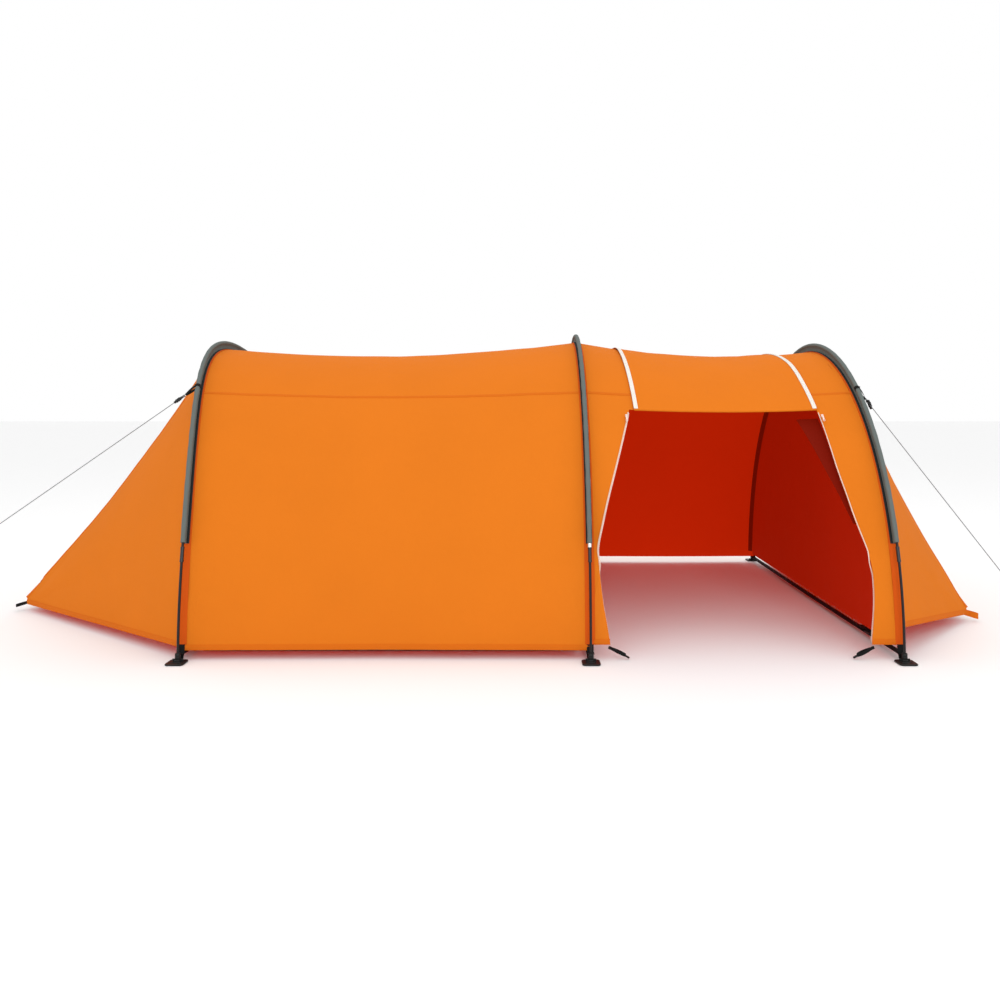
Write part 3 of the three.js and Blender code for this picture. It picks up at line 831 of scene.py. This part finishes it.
def frame_at(place, outward, along):
    """A matrix whose z is outward and whose y follows along."""
    z = Vector(outward).normalized()
    y = (Vector(along) - Vector(along).dot(z) * z).normalized()
    rotation = Matrix((y.cross(z), y, z)).transposed().to_4x4()
    return Matrix.Translation(Vector(place)) @ rotation


def lathe(edit, profile, matrix, segments=20):
    """Turns a closed profile of (radius, z) about the matrix's z axis."""
    rows = []
    for s in range(segments):
        a = 2 * math.pi * s / segments
        points = [Vector((r * math.cos(a), r * math.sin(a), z)) for r, z in profile]
        rows.append([edit.verts.new(matrix @ point) for point in points])
    for row, after in zip(rows, rows[1:] + rows[:1]):
        for q in range(len(profile)):
            up = (q + 1) % len(profile)
            edit.faces.new((row[q], after[q], after[up], row[up]))


def flat_ring(edit, outer, inner, thickness, matrix, sides=24):
    """A ring with a rounded section, lying in the matrix's x-y plane."""
    middle, thick = (outer + inner) / 2, (outer - inner) / 2
    turns = [2 * math.pi * q / 8 for q in range(8)]
    section = [(middle + thick * math.cos(a), thickness / 2 * math.sin(a)) for a in turns]
    lathe(edit, section, matrix, sides)


def add_slider(side):
    low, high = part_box(f"zip_slider_{side}")
    place = [(a + b) / 2 for a, b in zip(low, high)]
    outward = Vector((0, place[1] / HALF_SPAN ** 2, place[2] / HOOPS["middle"]["height"] ** 2))
    matrix = frame_at(place, outward, (0, 0, 1))
    edit = bmesh.new()
    bevelled_box(edit, (0.008, 0.012, 0.0042), matrix, (0, 0.005, -0.001), 0.0012)
    bevelled_box(edit, (0.003, 0.008, 0.002), matrix, (0, 0.004, 0.0022), 0.0007)
    bevelled_box(edit, (0.006, 0.016, 0.0016), matrix, (0, -0.008, 0.0028), 0.0006)
    flat_ring(edit, 0.0046, 0.0028, 0.0016, matrix @ Matrix.Translation((0, -0.018, 0.0028)))
    piece = bmesh_object(f"zip_slider_{side}_pull", edit, "slider", f"slider_{side}")
    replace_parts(piece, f"zip_slider_{side}")


add_slider("left")
add_slider("right")

# ---- painted shadows: a dark sheet behind the right zip, and a dark strip inside the right hoop

PAINTED_SHADOW_FOOT = 0.43
PAINTED_SHADOW_WIDTH = 0.062
PAINTED_SHADOW_DEPTH = (0.011, 0.036)  # behind the cloth, at its foot and at the fold


def painted_shadow_grid(columns=14, rows=50):
    """A narrow dark sheet behind the right-hand zip, wide at the fold and tapering to nothing: painted
    shadow with a faint painted glow.
    """
    i, j = grid_axes(columns, rows)
    height = mix(PAINTED_SHADOW_FOOT, DOOR_FOLD - 0.008, j)
    edge = edge_x(JAMB_EDGES["right"], height) + 0.010
    along = porch_along(edge - (0.014 + PAINTED_SHADOW_WIDTH * j ** 1.3) * (1 - i))
    depth = mix(*PAINTED_SHADOW_DEPTH, j) + 0.003 * np.sin(11 * height) * (1 - i)
    return bay_points(PORCH, along, angle_at(height, PORCH, along), -depth)


# The sheet stands in for a shadow band beside the zip: painted shadow.
grid = painted_shadow_grid()
painted_shadow = shell("porch_painted_shadow_cloth", grid, CLOTH, "painted_shadow", "painted_shadow")
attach(painted_shadow, "tent")
flat_of(grid)

# A dark strip along the end partition's edge, just inside the right hoop: painted shadow of the far leg's
# pole and sleeve seen through the cloth.
foot = leg_angle(HOOPS["right"], 0.06, "near")
angles = np.linspace(foot, math.pi - foot, 120)
edge_line = hoop_points(HOOPS["right"], angles, -0.012)
inward = hoop_points(HOOPS["right"], angles, -0.022) - edge_line
ribbon("porch_corner_painted_shadow", edge_line - np.array([0.0215, 0, 0]), inward - np.array([0.012, 0, 0]), 0.024,
       0.0012, "painted_shadow")

# ---- feet


def rounded_outline(half_x, half_y, radius, centre_y=0.0):
    """A rectangle's outline with round corners, as (x, y) points."""
    points = []
    for k, (x_side, y_side) in enumerate([(1, 1), (-1, 1), (-1, -1), (1, -1)]):
        for step in range(6):
            a = math.pi / 2 * (k + step / 5)
            points.append((x_side * (half_x - radius) + radius * math.cos(a),
                           centre_y + y_side * (half_y - radius) + radius * math.sin(a)))
    return points


def plate_with_slot(edit, length, width, thickness, slot, matrix):
    """A rounded plate with a long hole, with its edges broken, lying in the matrix's x-y plane."""
    slot_length, slot_width, slot_y = slot
    chamfer = thickness * 0.22
    levels = [(0, chamfer), (chamfer, 0), (thickness - chamfer, 0), (thickness, chamfer)]
    rings = []
    for z, inset in levels:
        outer = rounded_outline(length / 2 - inset, width / 2 - inset, 0.010)
        inner = rounded_outline(slot_length / 2 + inset, slot_width / 2 + inset, slot_width / 2.2, slot_y)
        rings.append([[edit.verts.new(matrix @ Vector((x, y, z))) for x, y in loop]
                      for loop in (outer, inner)])
    count = len(rings[0][0])
    joined = [(low[0], high[0], False) for low, high in zip(rings, rings[1:])]
    joined += [(low[1], high[1], True) for low, high in zip(rings, rings[1:])]
    joined += [(rings[0][0], rings[0][1], True), (rings[-1][0], rings[-1][1], False)]
    for first, second, flip in joined:
        for k in range(count):
            n = (k + 1) % count
            quad = (first[k], first[n], second[n], second[k])
            edit.faces.new(quad[::-1] if flip else quad)


# The foot's socket as a closed (radius, z) outline: a flange, a stem with two ribs, and a rounded lip.
SOCKET = [(0.0052, 0.0046), (0.0105, 0.0046), (0.0105, 0.0075), (0.0088, 0.0095), (0.0088, 0.0150),
          (0.0094, 0.0160), (0.0088, 0.0170), (0.0088, 0.0225), (0.0094, 0.0235), (0.0088, 0.0245),
          (0.0086, 0.0285), (0.0078, 0.0300), (0.0060, 0.0300), (0.0052, 0.0290)]


# The webbing tab from the hem down to the foot: (out past the hoop's foot, height).
FOOT_TAB = [(-0.001, 0.058), (0.001, 0.040), (0.006, 0.022), (0.012, 0.0095), (0.018, 0.0068)]


def add_foot(hoop_name, side):
    """A slotted base plate with a ribbed socket for the pole, and the tab sewn to it."""
    sign = SIDES[side]
    x = HOOPS[hoop_name]["x"]
    place = Matrix.Translation((x, sign * (HALF_SPAN + POLE_OFFSET), 0))
    if sign > 0:
        place = place @ Matrix.Rotation(math.pi, 4, "Z")
    edit = bmesh.new()
    base = place @ Matrix.Translation((0, -0.010, 0))
    plate_with_slot(edit, 0.058, 0.056, 0.005, (0.030, 0.009, -0.010), base)
    lathe(edit, SOCKET, place)
    for quarter in range(3):
        turned = place @ Matrix.Rotation(math.pi / 2 * quarter, 4, "Z")
        bevelled_box(edit, (0.009, 0.003, 0.008), turned, (0.0125, 0, 0.0085), 0.0009, 2)
    piece = bmesh_object(f"foot_{hoop_name}_{side}_base", edit, "plastic", "tent")
    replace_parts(piece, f"foot_{hoop_name}_{side}")
    line = smooth_line([(x, sign * (HALF_SPAN + out), height) for out, height in FOOT_TAB], 20)
    facing = np.tile([0.0, sign * 1.0, 0.35], (20, 1))
    ribbon(f"foot_{hoop_name}_{side}_tab", line, facing, 0.022, 0.0008, "webbing")


for hoop_name in HOOPS:
    for side in SIDES:
        add_foot(hoop_name, side)

# The taped seam under each sleeve, where the panels on both sides of a hoop meet.
HOOP_SEAM_WIDTH = 0.032
for name, hoop in HOOPS.items():
    foot = leg_angle(hoop, 0.05, "near")
    angles = np.linspace(foot, math.pi - foot, 160)
    line = hoop_points(hoop, angles, 0.0006)
    ribbon(f"hoop_{name}_seam", line, hoop_points(hoop, angles, 0.01) - line, HOOP_SEAM_WIDTH, 0.0014,
           "hoop_seam")

# ---- ground straps, buckle and peg loops

STRAP_WIDTH = 0.025
STRAP_SAG = 0.0035
UP = np.array([0, 0, 1.0])
for name, hoop in HOOPS.items():
    low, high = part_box(f"ground_strap_{name}")
    y = np.linspace(low[1], high[1], 80)
    sag = STRAP_SAG * (1 - (y / high[1]) ** 2)
    line = np.stack([np.full_like(y, hoop["x"]), y, high[2] - 0.0012 - sag], 1)
    strap = ribbon(f"ground_strap_{name}_web", line, np.tile(UP, (80, 1)), STRAP_WIDTH, 0.0008,
                   "webbing", thickness=0.0018)
    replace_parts(strap, f"ground_strap_{name}")


# The strap's tail past the buckle: (aside, along the strap, height).
STRAP_TAIL = [(0, 0.004, 0.0300), (0, 0.016, 0.0345), (0, 0.040, 0.0315), (0.002, 0.075, 0.0275),
              (0.006, 0.115, 0.0245)]


def add_buckle():
    """A ladder buckle: a frame with two cross bars, and the strap's tail folded back through it."""
    low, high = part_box("strap_buckle")
    middle = [(a + b) / 2 for a, b in zip(low, high)]
    place = Matrix.Translation(middle)
    edit = bmesh.new()
    for x in (-0.0145, 0.0145):
        bevelled_box(edit, (0.0045, 0.043, 0.0045), place, (x, 0, 0), 0.0012)
    for y in (-0.0195, -0.006, 0.006, 0.0195):
        bevelled_box(edit, (0.0285, 0.0042, 0.0036), place, (0, y, 0.0002), 0.0010)
    piece = bmesh_object("strap_buckle_ladder", edit, "plastic", "tent")
    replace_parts(piece, "strap_buckle")
    x, y = middle[:2]
    tail = smooth_line([(x + aside, y + along, height) for aside, along, height in STRAP_TAIL], 30)
    ribbon("strap_tail", tail, np.tile(UP, (30, 1)), 0.0225, 0.0008, "webbing", thickness=0.0016)


add_buckle()


LOOP_HALF = 0.009
# Half of a loop's path: (share of its length, distance from its middle line).
LOOP_SIDE = [(0.0, 0.0016), (0.18, 0.0022), (0.42, LOOP_HALF * 0.75), (0.70, LOOP_HALF),
             (0.92, LOOP_HALF * 0.7)]
LOOP_PATH = LOOP_SIDE + [(1.0, 0.0)] + [(share, -out) for share, out in LOOP_SIDE[::-1]]


def web_loop(node, start, toward, length, width, material, slot, drop):
    """Webbing sewn to the cloth at start, which runs out, round the peg's place and back, on its edge."""
    toward = np.asarray(toward, float)
    side = np.cross(toward, UP)
    reach = toward * length - UP * drop
    line = smooth_line([start + reach * share + side * out for share, out in LOOP_PATH], 64)
    normals = np.cross(np.gradient(line, axis=0), UP)
    piece = ribbon(f"{node}_web", line, normals, width, 0.0004, material, thickness=0.0015)
    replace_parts(piece, node)


APSE_LOOPS = {"left": (0.012, "webbing", "webbing"), "right": (0.022, "fly_seam", "fly_fabric")}
for apse_name, apse in APSES.items():
    for side, sign in SIDES.items():
        start = np.array([apse["tip"] - apse["side"] * 0.004, sign * apse["half_tip"], CORNER_LOW + 0.008])
        toward = (apse["side"], 0, 0)
        web_loop(f"peg_loop_{apse_name}_{side}", start, toward, 0.048, *APSE_LOOPS[apse_name], drop=0.014)
for side, toward in (("left", 1), ("right", -1)):
    x = float(edge_x(JAMB_EDGES[side], 0.05))
    start = np.array([x - toward * 0.006, -HALF_SPAN + 0.002, 0.040])
    web_loop(f"peg_loop_jamb_{side}", start, (toward, 0, 0), 0.056, 0.009, "webbing", "webbing", drop=0.026)
    place = Matrix.Translation((x + toward * 0.054, -HALF_SPAN + 0.002, 0.0095))
    tilted = place @ Matrix.Rotation(0.5 * toward, 4, "Y")
    edit = bmesh.new()
    bevelled_box(edit, (0.016, 0.006, 0.006), tilted, (0, 0, 0), 0.002)
    bmesh_object(f"jamb_toggle_{side}", edit, "plastic", "tent")

# ---- guylines

GUY_ANGLE = math.radians(55)
GUY_ENDS = {"left": (-2.060, -1.080, 0.003), "right": (1.822, -1.080, 0.003)}
TAB_REACH = 0.054  # from the pole's centre to the cord's start
TAB_RADIUS = 0.0095
TAB_OPENING = 0.75  # half the angle left open on the side that the cord pulls to
CORD_DIAMETER = 0.0028
RUNNER_AT = 0.02  # share of the cord's length
FACING_OUT = (0.3, -1, 0.2)


def guy_pull(name):
    """Where a near guyline pulls on its sleeve, and the direction it pulls in."""
    on_sleeve = hoop_points(HOOPS[name], GUY_ANGLE, POLE_OFFSET)
    return on_sleeve, unit(np.array(GUY_ENDS[name]) - on_sleeve)


def add_guyline(name):
    """A taut cord from the sleeve's tab to the ground, with its runner, the eye at its end and its knot."""
    on_sleeve, pull = guy_pull(name)
    first, last = on_sleeve + pull * TAB_REACH, np.array(GUY_ENDS[name])
    length = float(np.linalg.norm(last - first))
    line = first + (last - first) * np.linspace(0, 1, 41)[:, None]
    line[:, 2] = np.maximum(line[:, 2], CORD_DIAMETER / 2)
    cord = tube(f"guyline_{name}_cord", line, CORD_DIAMETER / 2, 10, "cord")
    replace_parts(cord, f"guyline_{name}")
    direction = (last - first) / length
    runner = add_runner(name, first + direction * RUNNER_AT * length, direction)
    on_it = [runner, add_peg_eye(name, last, direction), add_knot(name, first, direction)]


def add_runner(name, place, direction):
    """A waisted plastic runner with an eye at each end, which grips the line by its bend."""
    matrix = frame_at(place, FACING_OUT, direction)
    edit = bmesh.new()
    bevelled_box(edit, (0.0115, 0.020, 0.0066), matrix, (0, 0, 0), 0.0022)
    for y in (-0.0125, 0.0125):
        bevelled_box(edit, (0.0085, 0.0100, 0.0072), matrix, (0, y, 0), 0.0028)
    for y in (-0.006, 0.0, 0.006):
        bevelled_box(edit, (0.0128, 0.0018, 0.0076), matrix, (0, y, 0), 0.0006, 2)
    piece = bmesh_object(f"guy_runner_{name}_grip", edit, "plastic", f"runner_{name}")
    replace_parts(piece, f"guy_runner_{name}")
    return piece


def add_peg_eye(name, place, direction):
    """The tied loop at the ground end that a peg goes through."""
    flat = Vector((direction[0], direction[1], 0)).normalized()
    turn = np.linspace(0, 2 * math.pi, 40)
    radius, thick = 0.016, CORD_DIAMETER / 2
    centre = Vector(place) + flat * (radius + 0.002)
    side = Vector((0, 0, 1)).cross(flat)
    line = [centre - flat * radius * math.cos(a) + side * radius * 0.62 * math.sin(a) for a in turn]
    points = np.array([(p.x, p.y, thick + 0.0004) for p in line])
    return tube(f"guyline_{name}_eye", points, thick, 8, "cord")


def add_knot(name, place, direction):
    """A few tight turns where the line is tied to its tab."""
    matrix = frame_at(Vector(place) + Vector(direction) * 0.006, FACING_OUT, direction)
    tilt = Matrix.Rotation(math.pi / 2 + 0.12, 4, "X")
    edit = bmesh.new()
    for k in range(4):
        turn = matrix @ Matrix.Translation((0, -0.004 + 0.0024 * k, 0)) @ tilt
        flat_ring(edit, 0.0044, 0.0016, 0.0028, turn, 16)
    return bmesh_object(f"guyline_{name}_knot", edit, "cord", "tent")


def add_guy_tab(name, side):
    """Webbing that wraps the sleeve and comes together towards the guyline."""
    mirror = np.array([1, -SIDES[side], 1])
    on_sleeve, direction = (vector * mirror for vector in guy_pull(name))
    angle = GUY_ANGLE if side == "near" else math.pi - GUY_ANGLE
    before, after = (hoop_points(HOOPS[name], angle + step, POLE_OFFSET) for step in (-0.01, 0.01))
    tangent = unit(after - before)
    away = unit(direction - tangent * direction.dot(tangent))
    across = np.cross(tangent, away)
    turn = np.linspace(TAB_OPENING, 2 * math.pi - TAB_OPENING, 30)
    wrap = on_sleeve + TAB_RADIUS * (np.outer(np.cos(turn), away) + np.outer(np.sin(turn), across))
    join = on_sleeve + direction * (TAB_REACH - 0.002)
    half = across * 0.0009
    line = np.concatenate([[join + half, (join + wrap[0]) / 2 + half * 2], wrap,
                           [(join + wrap[-1]) / 2 - half * 2, join - half]])
    line = smooth_line(line, 90)
    normal = np.cross(np.gradient(line, axis=0), tangent)
    piece = ribbon(f"guy_tab_{name}_{side}_web", line, normal, 0.013, 0.0003, "webbing",
                   thickness=0.0013)
    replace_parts(piece, f"guy_tab_{name}_{side}")


for name in GUY_ENDS:
    add_guyline(name)
    for side in SIDES:
        add_guy_tab(name, side)

# ---- partitions and groundsheet


def partition_grid(node, columns=56, rows=44):
    """A hanging wall that fills the hoop's section, from its hem up to the roof."""
    low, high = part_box(node)
    half_width, top = high[1], high[2]
    y = half_width * 0.985 * np.sin(np.linspace(-math.pi / 2, math.pi / 2, columns + 1))[:, None]
    y = y * np.ones((1, rows + 1))
    ceiling = top * np.sqrt(np.maximum(1 - (y / (half_width + 0.001)) ** 2, 0))
    hem = np.minimum(low[2], ceiling - 0.004)
    j = np.linspace(0, 1, rows + 1)[None, :]
    z = mix(hem, ceiling, j)
    free = np.sin(math.pi * np.clip(j, 0, 1)) * (1 - (y / half_width) ** 2)
    x = (low[0] + high[0]) / 2 + 0.006 * free * np.sin(7 * y + 2.1 * z) + 0.002 * free * np.sin(23 * y)
    return np.stack([x, y, z], -1)


# The partitions' material paints shade into their dark red and a glow of light through the cloth.
for node, sleeve in (("bedroom_partition", "sleeve_middle"), ("end_partition", "sleeve_right")):
    grid = partition_grid(node)
    cloth(f"{node}_cloth", grid, node, "partition", "partition")
    line, normals = (rows[3:-3, 0] for rows in (grid, grid_normals(grid)))
    ribbon(f"{node}_hem", line + UP * 0.009, normals, HEM_WIDTH, SEAM_LIFT, "partition")

FLOOR_INSET = 0.035  # so that it doesn't show past the walls' hems


def floor_grid(columns=60, rows=70):
    low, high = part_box("bedroom_floor")
    x, y = grid_axes(columns, rows, (low[0], high[0]), (low[1] + FLOOR_INSET, high[1] - FLOOR_INSET))
    flat = np.stack([x, y, np.zeros_like(x)], -1)
    flat[..., 2] = 0.0042 + 0.0026 * ripple(flat, 0.12)
    return flat


cloth("bedroom_groundsheet", floor_grid(), "bedroom_floor", "floor", "floor")

# ---- stage and light


def lay_stage():
    data = bpy.data.meshes.new("floor")
    far = 60
    data.from_pydata([(-far, -far, 0), (far, -far, 0), (far, far, 0), (-far, far, 0)], [], [(0, 1, 2, 3)])
    ground = link(bpy.data.objects.new("studio_floor", data))
    material = Nodes("studio_floor", (0.93, 0.93, 0.93), 0.9)
    ground.data.materials.append(material.material)
    ground.location.z = -0.001


def add_light(name, place, aim, size, power):
    data = bpy.data.lights.new(name, "AREA")
    data.shape = "DISK"
    data.size = size
    data.energy = power
    lamp = link(bpy.data.objects.new(name, data))
    lamp.location = place
    lamp.rotation_euler = (Vector(aim) - Vector(place)).to_track_quat("-Z", "Y").to_euler()


lay_stage()
world = bpy.data.worlds.new("studio")
world.use_nodes = True
world.node_tree.nodes["Background"].inputs["Color"].default_value = (1, 1, 1, 1)
world.node_tree.nodes["Background"].inputs["Strength"].default_value = 1.0
bpy.context.scene.world = world
bpy.context.scene.view_settings.view_transform = "Standard"
add_light("key", (-2.5, -5.0, 5.5), (0, 0, 0.5), 4.0, 30)
add_light("front", (0.9, -5.0, 2.4), (0.9, 0, 0.2), 2.5, 45)
add_light("top", (0.5, 0.5, 6.0), (0, 0, 0.5), 5.0, 45)
